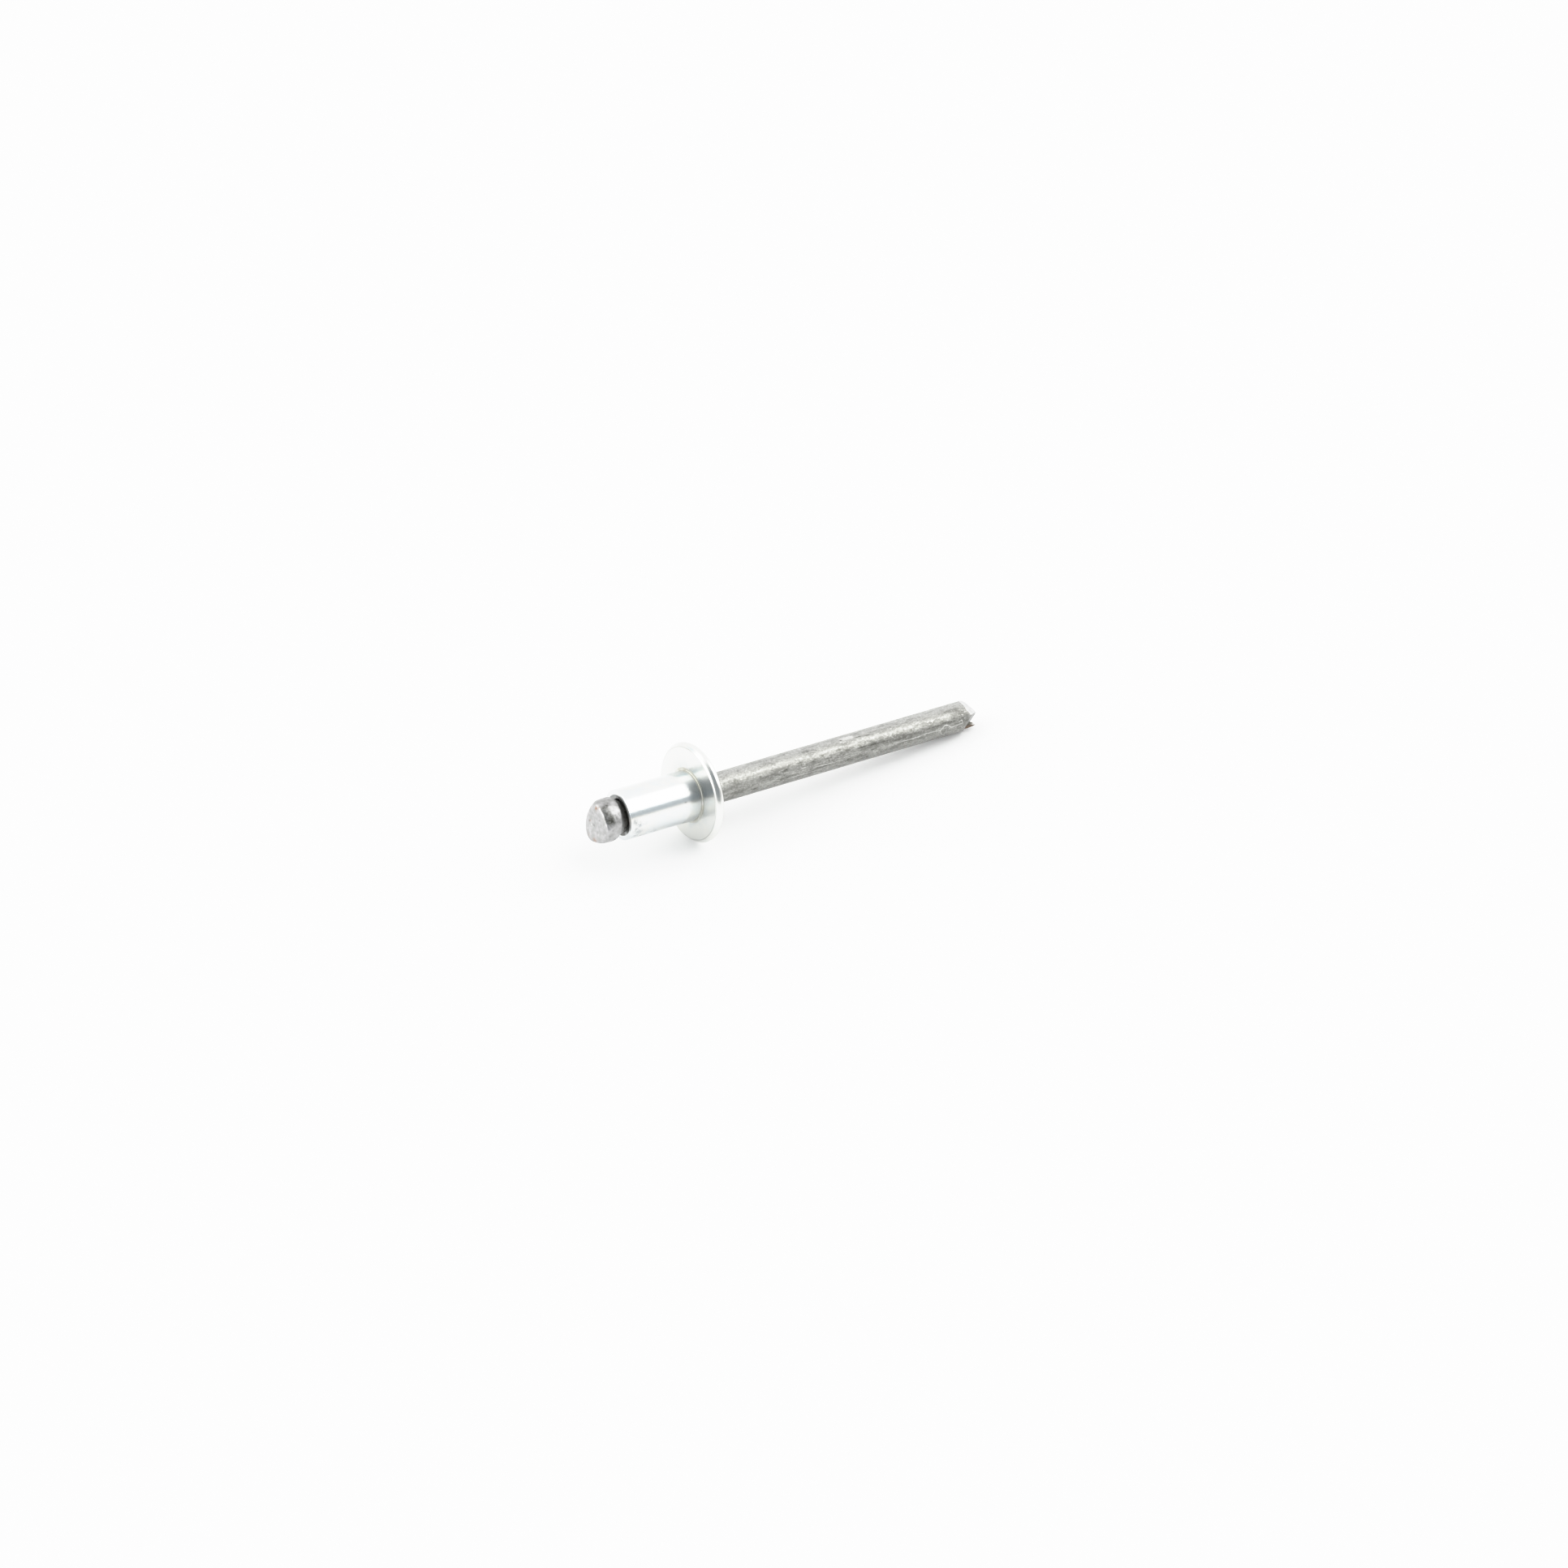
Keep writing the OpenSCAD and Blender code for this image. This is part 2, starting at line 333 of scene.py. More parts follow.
def tail_radius(u, turn):
    """Radius of the pinched tail at u and turn, before the torn end."""
    r = np.full(np.broadcast(u, turn).shape, SHANK_R)
    for k, a in ((RIDGE, MAIN_A), (RIDGE + 180, MAIN_A), (SIDE, SIDE_A)):
        h = SHANK_R - (u - SHANK_END) / math.tan(math.radians(a))
        if k == RIDGE:
            h = SHANK_R - (u - MAIN_U) / math.tan(math.radians(MAIN_STEEP))
            h = h - SCOOP * np.sin(np.pi * np.clip((u - MAIN_U) / 1.6, 0, 1) ** 0.6)
        if k == SIDE:
            h = SHANK_R - (u - SIDE_U) / math.tan(math.radians(a))
        c = np.cos(turn - math.radians(k))
        with np.errstate(divide="ignore", invalid="ignore"):
            limit = np.where(c > 1e-3, h / c, 1e9)
        r = np.minimum(r, np.where(limit > 0, limit, 0))
    return r


def torn_u(r, turn):
    return POINT_U - math.tan(math.radians(18)) * r * np.cos(turn - math.radians(RIDGE - 90))


def spaced_turns(n):
    """Turns all the way round, closer together on the side with the fold and most marks."""
    a = np.linspace(-180, 180, 3601)
    density = 1 + 2.5 * smooth(a, -72, -50) * (1 - smooth(a, 68, 92))
    total = np.concatenate([[0], np.cumsum((density[1:] + density[:-1]) / 2)])
    return np.radians(np.interp(np.arange(n) / n * total[-1], total, a) + FACING)


def spots(u, s, places):
    """Soft spots at (u, s, half length, half width, strength), some of them slanted by a sixth value."""
    out = np.zeros(u.shape)
    for u0, s0, wu, ws, k, *slope in places:
        s1 = s0 + (u - u0) * (slope[0] if slope else 0.0)
        out = np.maximum(out, k * np.exp(-((u - u0) / wu) ** 2 - ((s - s1) / ws) ** 2))
    return out


def mandrel_mesh():
    segs = 208
    turn = spaced_turns(segs)
    us, rs = [], []

    # nose: rays from HEAD_C
    n = 44
    for i in range(1, n + 1):
        w = math.radians(90 * (i / n))
        du, dr = -math.cos(w), math.sin(w)
        power = 15
        g = (max(dr, 0) / HEAD_R) ** power + (abs(du) / (HEAD_C - NOSE_U)) ** power
        g = np.full(segs, g)
        for k, a, off in NOSE_PLANES:
            a = math.radians(a)
            h = math.cos(a) * (HEAD_C - NOSE_U) + math.sin(a) * off
            d = (math.cos(a) * -du + math.sin(a) * dr * np.cos(turn - math.radians(k))) / h
            g = g + np.maximum(d, 0) ** power
        dist = g ** (-1 / power)
        us.append(HEAD_C + du * dist)
        rs.append(dr * dist)
    # side of the head, its slanted and rounded rim, and the cone below
    rim_u = RIM_U - 0.07 - 0.26 * np.sin(turn - math.radians(FACING + 10))
    edge = 0.34
    r_side = rs[-1]
    for i in range(1, 11):
        us.append(HEAD_C + (rim_u - edge - HEAD_C) * i / 10)
        rs.append(r_side + (HEAD_R - r_side) * float(smooth(np.array(i / 10), 0, 0.9)))
    for i in range(1, 13):
        a = math.radians(100 * i / 12)
        us.append(rim_u - edge + edge * math.sin(a))
        rs.append(np.full(segs, HEAD_R - 0.17 + 0.17 * math.cos(a)))
    for i in range(1, 9):
        t = i / 8
        us.append(rim_u + (-7.52 - rim_u) * t)
        rs.append(np.full(segs, HEAD_R - 0.2 - (HEAD_R - 0.2 - 1.40) * t))
    # inside the shell, where nothing shows
    for u, r in ((-7.3, 1.38), (-6.6, 1.38), (-6.22, 1.38), (-6.0, 1.2), (-5.8, 1.2), (-5.6, 1.38), (-4.0, 1.38), (-2.0, 1.38), (0.0, 1.38), (1.15, 1.38)):
        us.append(np.full(segs, u))
        rs.append(np.full(segs, r))
    # free shank
    shank = np.concatenate([np.arange(1.45, 22.4, 0.12), np.arange(22.4, 28.0, 0.09), np.arange(28.0, 31.0, 0.05)])
    lo, hi = np.full(segs, 31.02), torn_u(SHANK_R, turn)
    for _ in range(30):
        mid = (lo + hi) / 2
        whole = tail_radius(mid, turn) > SHANK_R - 1e-4
        lo, hi = np.where(whole, mid, lo), np.where(whole, hi, mid)
    u_b = lo
    for u in shank:
        us.append(np.full(segs, u))
        rs.append(np.full(segs, SHANK_R))
    for i in range(1, 25):
        us.append(31.0 + (u_b - 31.0) * i / 24)
        rs.append(np.full(segs, SHANK_R))
    # bevels, from the cylinder to the torn end
    lo, hi = u_b.copy(), np.full(segs, POINT_U + 0.6)
    for _ in range(40):
        mid = (lo + hi) / 2
        inside = mid < torn_u(tail_radius(mid, turn), turn)
        lo, hi = np.where(inside, mid, lo), np.where(inside, hi, mid)
    u_e = lo
    for i in range(1, 41):
        u = u_b + (u_e - u_b) * i / 40
        us.append(u)
        rs.append(tail_radius(u, turn))
    r_e = tail_radius(u_e, turn)
    for i in range(1, 14):
        r = r_e * (1 - i / 14)
        us.append(torn_u(r, turn))
        rs.append(r)
    u, r = np.array(us), np.array(rs)
    t = np.broadcast_to(turn, u.shape)
    local = np.stack([u, -r * np.sin(t), r * np.cos(t)], -1)

    # worn edges: a few rounds of smoothing over the nose and the tail
    smoothed = local.copy()
    for _ in range(3):
        mean = (np.roll(smoothed, 1, 1) + np.roll(smoothed, -1, 1)) / 4
        mean[1:-1] += (smoothed[2:] + smoothed[:-2]) / 4
        mean[0] += smoothed[0] / 2
        mean[-1] += smoothed[-1] / 2
        w = np.where((u > 31.1), 0.7, 0.0)[..., None]
        smoothed = smoothed * (1 - w) + mean * w
    local = smoothed

    head = local[..., 0] < RIM_U + 0.3
    nose_c = np.array([HEAD_C, 0.0, 0.0])
    out = local - nose_c
    out[..., 0] = np.minimum(out[..., 0], 0)
    out = out / np.maximum(np.linalg.norm(out, axis=-1, keepdims=True), 1e-9)

    def at(uu, phi, rr):
        a = math.radians(phi + FACING)
        return np.array([uu, -rr * math.sin(a), rr * math.cos(a)])

    push = np.zeros(u.shape)
    dents = [  # place (u, phi, radius), size, depth in mm
        ((-9.85, 10, 2.0), 0.20, 0.035),
        ((-9.25, -22, 2.03), 0.20, 0.05),
        ((-9.32, -2, 2.03), 0.07, 0.03),
        ((-9.79, 34, 2.03), 0.12, 0.04),
        ((-10.35, -155, 0.87), 0.12, 0.05),
        ((-10.35, 157, 0.55), 0.10, 0.05),
        ((-10.35, 60, 1.2), 0.30, 0.05),
        ((-10.35, -90, 0.9), 0.30, 0.045),
        ((-9.2, 60, 2.03), 0.25, 0.04),
        ((-9.3, -70, 2.03), 0.4, 0.05),
        ((-9.1, 150, 2.03), 0.35, 0.05),
    ]
    for place, size, depth in dents:
        d2 = ((local - at(*place)) ** 2).sum(-1)
        push -= depth * np.exp(-d2 / (size * size))
    bumps = [((-10.3, 140, 1.75), 0.65, 0.24), ((-10.25, 165, 1.65), 0.6, 0.15), ((-10.40, -30, 1.80), 0.13, 0.04), ((-10.42, -48, 1.70), 0.12, 0.03), ((-10.35, 178, 0.71), 0.06, 0.03), ((-10.0, 31, 2.03), 0.18, 0.03)]
    for place, size, height in bumps:
        d2 = ((local - at(*place)) ** 2).sum(-1)
        push += height * np.exp(-d2 / (size * size))
    push += 0.016 * noise3(local, 0.6, 11) + 0.008 * noise3(local, 0.3, 12) + 0.003 * noise3(local, 0.15, 13)
    local = local + np.where(head, push, 0)[..., None] * out

    # shank: flats and dents left by drawing and handling, and the pinched fold
    phi = (np.degrees(t) - FACING + 180) % 360 - 180
    s = np.radians(phi) * SHANK_R
    uu = local[..., 0]
    free = (uu > 1.6) & (uu < 31.0)
    lift = 0.004 * noise3(local * np.array([0.25, 1, 1]), 0.7, 21) + 0.0025 * noise3(local * np.array([0.3, 1, 1]), 0.3, 22)
    digs = [(6.6, 1.24, 0.35, 0.12, 0.02), (10.2, 0.23, 0.3, 0.1, 0.012), (11.87, -0.02, 0.35, 0.1, 0.012), (13.3, -1.0, 0.6, 0.09, 0.014),
            (19.65, 1.38, 0.1, 0.08, 0.05), (18.0, -1.1, 0.6, 0.18, 0.012), (19.6, -0.86, 0.9, 0.07, 0.012), (20.2, 0.24, 1.4, 0.07, 0.012), (24.0, 0.35, 0.5, 0.15, 0.012)]
    lift = lift - sum(spots(uu, s, [d]) for d in digs)
    seam, up, wander, low = seam_points()
    uneven = 0.56 + 0.26 * noise3(local, 0.22, 24) + 0.22 * noise3(local, 0.1, 28)
    crest = np.zeros(u.shape)
    fold = np.zeros(u.shape)
    for pts, height in ((seam, 0.016), (up, 0.026), (wander, 0.022), (low, 0.024)):
        d, side = line_distance(uu + 0.03 * noise3(local, 0.3, 26), s + 0.028 * noise3(local, 0.26, 27), pts)
        line = np.exp(-(d / 0.036) ** 2) * uneven
        if pts is seam:
            line = line * smooth(uu, 20.8, 23.6)
        crest = np.maximum(crest, line)
        fold = np.maximum(fold, height * line)
    d, side = line_distance(uu, s, seam[:-1] + up + wander[1:-12])
    below = np.where(side > 0, 1.0, 0.0) * smooth(d, 0.0, 0.05)
    step = 0.022 * below * np.exp(-(d / 0.75) ** 2) * smooth(uu, 23.0, 27.5)
    lift = lift + fold + step
    lift = lift * smooth(uu, 1.6, 2.2) * (1 - smooth(uu, 30.9, 31.3)) + 0.0 * uu
    radial = np.stack([0 * t, -np.sin(t), np.cos(t)], -1)
    local = local + np.where(free | (uu >= 31.0) & (uu < 31.4), lift, 0)[..., None] * radial

    # bevels: drawn marks along the cut, and a rough torn end
    cut = smooth(uu, 31.1, 31.4)
    across = local[..., 2] * math.sin(math.radians(RIDGE)) + local[..., 1] * math.cos(math.radians(RIDGE))
    marks = 0.006 * noise3(np.stack([across, uu * 0.12, 0 * uu], -1), 0.11, 31) + 0.008 * noise3(np.stack([across, uu * 0.2, 0 * uu], -1), 0.35, 32)
    ragged = 0.03 * noise3(local, 0.25, 33) * smooth(uu, 32.6, 33.1)
    ends_w = cut * (1 - 0 * uu)
    local = local + (ends_w * marks)[..., None] * radial + np.stack([ragged * ends_w, 0 * ragged, 0 * ragged], -1)

    # rust and dirt, and painted shade, dark reflections and highlights
    rust = np.zeros(u.shape)
    for place, size, k in (((-10.40, -57, 1.49), 0.17, 1.0), ((-10.38, -46, 1.75), 0.12, 0.8), ((-10.3, 122, 1.75), 0.2, 0.9), ((-10.35, 150, 1.7), 0.15, 0.5), ((-10.35, -155, 0.87), 0.1, 0.4)):
        d2 = ((local - at(*place)) ** 2).sum(-1)
        rust = np.maximum(rust, k * np.exp(-d2 / (size * size)))
    dirt_and_shade = spots(uu, s, [
        (4.47, -0.32, 0.12, 0.06, 0.7), (3.26, -0.18, 0.15, 0.07, 0.6), (5.85, 0.03, 0.14, 0.06, 0.6), (11.87, -0.02, 0.42, 0.10, 0.8), (10.2, 0.23, 0.34, 0.12, 1.0),
        (9.92, 0.69, 0.2, 0.07, 0.7), (10.96, 0.92, 0.25, 0.07, 0.7), (5.37, -1.0, 0.16, 0.07, 0.5), (7.66, -0.82, 0.16, 0.06, 0.5), (8.88, -0.84, 0.2, 0.07, 0.6),
        (8.92, 1.07, 0.22, 0.07, 0.7), (6.63, 1.24, 0.40, 0.14, 1.0), (13.36, 0.19, 0.25, 0.07, 0.7), (12.57, 0.35, 0.2, 0.06, 0.6), (16.62, 1.07, 0.25, 0.08, 0.7),
        (18.88, 0.98, 0.2, 0.07, 0.7), (20.2, 0.72, 0.25, 0.07, 0.7), (21.21, 1.18, 0.2, 0.07, 0.7), (19.38, -0.04, 0.2, 0.06, 0.5), (21.41, -0.82, 0.2, 0.06, 0.5),
        (26.21, 0.15, 0.22, 0.08, 0.8), (23.9, 0.19, 0.3, 0.09, 0.8), (29.92, 0.05, 0.25, 0.09, 0.8), (30.94, 0.21, 0.2, 0.12, 0.9), (31.55, 0.12, 0.15, 0.12, 0.6),
        (19.63, 1.35, 0.13, 0.075, 1.3), (13.1, -0.99, 0.5, 0.065, 1.1), (13.95, -0.86, 0.32, 0.07, 1.0, 0.45), (19.2, -0.91, 0.55, 0.06, 1.0), (20.2, -0.81, 0.65, 0.06, 0.9, 0.14),
        (19.0, 0.2, 0.6, 0.09, 1.0), (20.4, 0.25, 0.9, 0.10, 1.0), (21.6, 0.25, 0.6, 0.08, 0.9), (17.25, -1.07, 0.13, 0.07, 1.2), (28.6, 1.22, 0.12, 0.08, 1.0),
        (15.2, 0.3, 0.5, 0.05, 0.6), (16.9, 0.12, 0.6, 0.05, 0.6), (24.9, 0.42, 0.7, 0.06, 0.6), (27.3, 0.3, 0.8, 0.06, 0.6), (28.9, 0.2, 0.6, 0.08, 0.7), (22.9, 0.5, 0.5, 0.05, 0.6)])
    # dark spots painted on the head: pits and dirt, and partly the dark reflections of its near side
    on_head = [((-9.5, 12, 2.03), 0.16, 0.6),
               ((-9.38, -42, 2.03), 0.22, 0.75), ((-8.85, -6, 2.03), 0.24, 0.6), ((-9.22, 3, 2.03), 0.24, 0.65), ((-8.74, -30, 2.03), 0.20, 0.55), ((-9.0, 16, 2.03), 0.26, 0.45), ((-8.8, 34, 2.03), 0.3, 0.35), ((-9.35, 28, 2.03), 0.2, 0.3),
               ((-9.9, -62, 2.0), 0.35, 0.4), ((-9.4, -62, 2.03), 0.35, 0.45), ((-9.0, -58, 2.03), 0.3, 0.4), ((-8.9, -78, 2.03), 0.4, 0.35), ((-10.3, 10, 1.8), 0.16, 0.4), ((-10.3, 24, 1.8), 0.18, 0.35),
               ((-9.79, 34, 2.0), 0.12, 0.5), ((-9.98, 50, 1.95), 0.18, 0.5), ((-9.69, -46, 2.0), 0.25, 0.5), ((-9.46, -66, 2.0), 0.3, 0.5), ((-9.1, 10, 2.0), 0.25, 0.3),
               ((-10.35, -159, 1.01), 0.10, 0.6), ((-10.35, -8, 0.76), 0.09, 0.5), ((-10.35, 150, 0.4), 0.10, 0.6), ((-10.35, -95, 1.0), 0.14, 0.35), ((-10.35, 100, 0.9), 0.12, 0.3)]
    for place, size, k in on_head:
        d2 = ((local - at(*place)) ** 2).sum(-1)
        dirt_and_shade = np.maximum(dirt_and_shade, k * np.exp(-d2 / (size * size)) * head)
    # a dark patch painted on the chamfer beside the nose's ridge: mostly a painted dark reflection, as the chamfer
    # faces dark surroundings, and partly dirt
    reach = np.interp(phi, [-60, -50, -38, -30, -15, -5, 10, 25, 40], [-9.3, -9.2, -9.3, -9.62, -9.6, -9.38, -9.42, -9.6, -9.7])
    start = np.interp(phi, [-60, -16, -4, 10, 26], [-10.34, -10.33, -10.37, -10.32, -9.95])
    ragged = 0.16 * noise3(local, 0.5, 35)
    chamfer_dark_reflection = smooth(np.hypot(local[..., 1], local[..., 2]), 1.5, 1.72) * smooth(phi, -58, -30) * (1 - smooth(phi + 30 * ragged, 6, 30)) * smooth(uu - start, -0.03, 0.12) * (1 - smooth(uu - reach + ragged, -0.3, 0.22))
    dirt_and_shade = np.maximum(dirt_and_shade, chamfer_dark_reflection * (0.88 + 0.5 * noise3(local, 0.45, 34)) * head)
    # painted dark reflections on the head's near side: a patch where its highlight breaks, and a band along the rim
    head_dark_reflection = np.exp(-((uu + 9.25) / 0.22) ** 2 - ((phi + 5) / 9) ** 2) + 0.8 * smooth(uu, -8.95, -8.62) * smooth(phi, -75, -50) * (1 - smooth(phi, 0, 30))
    dirt_and_shade = np.maximum(dirt_and_shade, np.clip(head_dark_reflection, 0, 1) * (0.55 + 0.4 * noise3(local, 0.4, 36)) * head)
    # the wire is painted darker next to the cut, on the side that faces the camera, and in a band above the fold
    dirt_and_shade = np.maximum(dirt_and_shade, 0.45 * smooth(uu, 29.3, 30.9) * smooth(phi, -45, -20) * (1 - smooth(phi, 30, 60)) * (uu < 31.6))
    dirt_and_shade = np.maximum(dirt_and_shade, 0.35 * smooth(s, 0.15, 0.4) * (1 - smooth(s, 0.9, 1.1)) * smooth(uu, 23.0, 25.0) * (1 - smooth(uu, 27.6, 28.1)))
    # painted highlight along the crest of the fold
    wear_and_glints = crest * free * smooth(uu, 21.2, 24.0)
    # bright scratches and worn spots, partly painted glints
    wear_and_glints = np.maximum(wear_and_glints, spots(uu, s, [
        (17.29, -1.26, 0.14, 0.05, 1.0), (17.08, -0.88, 0.12, 0.04, 1.0), (12.17, 0.51, 0.28, 0.04, 0.9), (27.46, -0.32, 0.14, 0.05, 1.0), (26.99, -0.35, 0.12, 0.05, 0.9),
        (12.0, 1.17, 1.4, 0.03, 0.8, 0.029), (14.75, 0.82, 1.0, 0.03, 0.8, 0.051), (30.98, -0.1, 0.055, 0.04, 1.0), (31.2, 0.28, 0.05, 0.04, 0.9), (31.1, 1.16, 0.06, 0.05, 0.8)]))
    # painted glints on the nose's ridge and face
    for place, size, k in (((-10.34, -42, 1.86), 0.10, 0.9), ((-10.36, -30, 1.80), 0.08, 0.9), ((-10.36, -18, 1.74), 0.07, 0.8), ((-10.36, -8, 1.70), 0.07, 0.6), ((-10.4, 175, 0.7), 0.07, 0.8), ((-10.4, 70, 1.35), 0.16, 0.3), ((-10.4, 95, 1.2), 0.16, 0.3)):
        d2 = ((local - at(*place)) ** 2).sum(-1)
        wear_and_glints = np.maximum(wear_and_glints, k * np.exp(-d2 / (size * size)) * head)
    # long dark streaks, partly dirt and partly a painted dark band below the wire's highlight
    dirt_and_shade = np.maximum(dirt_and_shade, spots(uu, s, [(10.4, 0.95, 0.9, 0.12, 0.6), (14.6, 1.0, 1.2, 0.10, 0.55), (17.6, 1.02, 0.9, 0.14, 0.6), (7.8, 0.35, 0.8, 0.12, 0.45), (12.3, 0.45, 1.3, 0.10, 0.5),
        (23.4, 0.45, 1.3, 0.12, 0.75), (25.2, 0.35, 1.1, 0.10, 0.6), (27.4, 0.28, 1.2, 0.11, 0.75), (29.6, 0.3, 0.8, 0.12, 0.7), (26.5, -0.75, 1.4, 0.10, 0.4), (29.3, -0.8, 1.0, 0.12, 0.45), (4.6, 0.9, 1.2, 0.15, 0.4), (3.2, 0.5, 0.7, 0.12, 0.4)]))
    rubbed = smooth(uu, 17.15, 17.35) * (1 - smooth(uu, 18.55, 18.7)) * smooth(s, -1.38, -1.3) * (1 - smooth(s, -1.0, -0.93))
    wear_and_glints = np.maximum(wear_and_glints, 0.45 * rubbed)
    # where the streaks of the drawing show, and where the fold has smoothed the wire
    band = smooth(phi, -14, 6) * (1 - smooth(phi, 56, 76))
    calm = np.maximum(np.exp(-((uu - 28.95) / 0.5) ** 4 - ((s - 1.0) / 0.36) ** 4), below * smooth(uu, 24.0, 26.0) * (1 - smooth(uu, 28.1, 28.3)))
    streaky = band * smooth(uu, 4.0, 11.0) * (1 - calm) * (1 - 0.65 * smooth(uu, 16.0, 21.0))
    # painted light and shade round the wire: lighter on top, darkest on the side that faces the camera and a little
    # below it
    painted_side_shade = np.interp(phi, [-180, -140, -90, -46, -38, -31, -24, -18, -12, -6, 0, 6, 12, 18, 24, 31, 38, 46, 56, 64, 72, 90, 100, 150, 180],
                     [0.4, 0.4, 0.0, 0.28, 0.62, 0.72, 0.82, 0.62, 0.74, 1.1, 1.14, 1.18, 1.2, 1.12, 0.97, 0.92, 1.0, 1.08, 0.98, 0.82, 0.62, 0.55, 0.6, 0.4, 0.4])
    calm = np.maximum(calm, smooth(-phi, 8, 22) * 0.7)
    calm = np.maximum(calm, 0.6 * rubbed)
    headness = smooth(-uu, 8.2, 8.6)
    bevel = smooth(uu, u_b[None, :] - 0.02, u_b[None, :] + 0.06) * (uu > 31.03)
    lead = np.cos(t - math.radians(RIDGE)) / np.maximum(SHANK_R - (u - MAIN_U) / math.tan(math.radians(MAIN_STEEP)), 0.05)
    side_on = np.cos(t - math.radians(SIDE)) / np.maximum(SHANK_R - (u - SIDE_U) / math.tan(math.radians(SIDE_A)), 0.05)
    # painted highlight along the edge where the main bevel leaves the cylinder
    near_edge = np.exp(-((u - u_b[None, :] - 0.03) / 0.05) ** 2) * (lead > side_on) * smooth(phi, -80, -55) * (1 - smooth(phi, 0, 14))
    wear_and_glints = np.maximum(wear_and_glints, near_edge * (u > 31.0))
    # painted highlight along the ridge between the two bevels
    wear_and_glints = np.maximum(wear_and_glints, 0.5 * np.exp(-((lead - side_on) / 0.04) ** 2) * bevel * (lead > 0.2) * (0.5 + 0.5 * noise3(local, 0.2, 25)))
    # the side cut is painted darker than the main one: painted shade, as it faces down
    dirt_and_shade = np.maximum(dirt_and_shade, 0.6 * bevel * smooth(side_on - lead, 0.0, 0.1))

    # the wire isn't quite straight: it leaves the shell a little low and comes back towards the tail
    sag = np.interp(uu, [-12, 2, 31.3, 34], [0.085, 0.098, 0.0, 0.0])
    a = math.radians(FACING + 90)
    local = local + sag[..., None] * np.array([0, -math.sin(a), math.cos(a)])

    p = np.stack([local[..., 0] * CT + local[..., 2] * ST, local[..., 1], -local[..., 0] * ST + local[..., 2] * CT], -1) * MM
    ends = [p[0].mean(0), p[-1].mean(0)]
    return closed_grid("rivet_mandrel", p, {"rust": rust, "dirt_and_shade": dirt_and_shade, "wear_and_glints": wear_and_glints, "headness": headness, "bevel": bevel, "streaky": streaky, "calm": calm, "painted_side_shade": painted_side_shade}, False, ends)


def burr_mesh(mesh):
    """Makes the thin torn burr beside the ridge, as a closed plate of its own, for joining to the mandrel's mesh."""
    outline = [(SHANK_END - 0.2, 0.35), (SHANK_END + 0.1, 1.30), (SHANK_END + 0.5, 1.29), (SHANK_END + 0.85, 1.28), (SHANK_END + 1.1, 1.27), (SHANK_END + 1.35, 1.24), (SHANK_END + 1.55, 1.21), (SHANK_END + 1.68, 1.16), (SHANK_END + 1.66, 1.08), (SHANK_END + 1.52, 0.98), (SHANK_END + 1.35, 0.84), (SHANK_END + 1.1, 0.66), (SHANK_END + 0.8, 0.45), (SHANK_END + 0.5, 0.3)]
    a = math.radians(BURR)
    out_dir = np.array([0, -math.sin(a), math.cos(a)])
    off_dir = np.array([0, math.cos(a), math.sin(a)])
    pts = np.array(outline)
    c = pts.mean(0)
    rings = []
    for k, (shrink, h) in enumerate(((0.0, 0.10), (0.55, 0.12), (0.9, 0.1), (1.0, 0.03), (1.0, -0.03), (0.9, -0.1), (0.55, -0.12), (0.0, -0.10))):
        q = c + (pts - c) * shrink
        bend = 0.10 * smooth(q[:, 0], SHANK_END + 0.6, SHANK_END + 1.7)
        loc = np.zeros((len(q), 3))
        loc[:, 0] = q[:, 0]
        loc += q[:, 1:2] * out_dir + (h + bend)[:, None] * off_dir
        loc += 0.012 * np.stack([noise3(loc, 0.2, 41 + j) for j in range(3)], -1) * (0.3 < shrink)
        rings.append(loc)
    g = np.array(rings)[1:-1]
    p = np.stack([g[..., 0] * CT + g[..., 2] * ST, g[..., 1], -g[..., 0] * ST + g[..., 2] * CT], -1) * MM
    level = np.broadcast_to(pts[:, 1], p.shape[:2])
    tip = np.broadcast_to(smooth(pts[:, 0], SHANK_END + 1.5, SHANK_END + 1.68), p.shape[:2])
    values = {k: np.zeros(p.shape[:2]) for k in ("headness", "bevel", "streaky", "calm")}
    # the burr is painted dark as painted shade, since it faces down, with a painted glint at its tip and some rust
    values.update({"rust": 0.26 * smooth(level, 0.75, 1.15) * (1 - tip), "dirt_and_shade": 1.4 - 0.9 * tip, "wear_and_glints": 0.55 * tip, "painted_side_shade": np.full(p.shape[:2], 0.5)})
    made = closed_grid("burr", p, values, False, [p[0].mean(0), p[-1].mean(0)])
    return made


def out_facing(mesh):
    import bmesh
    bm = bmesh.new()
    bm.from_mesh(mesh)
    bmesh.ops.recalc_face_normals(bm, faces=bm.faces)
    bm.to_mesh(mesh)
    bm.free()


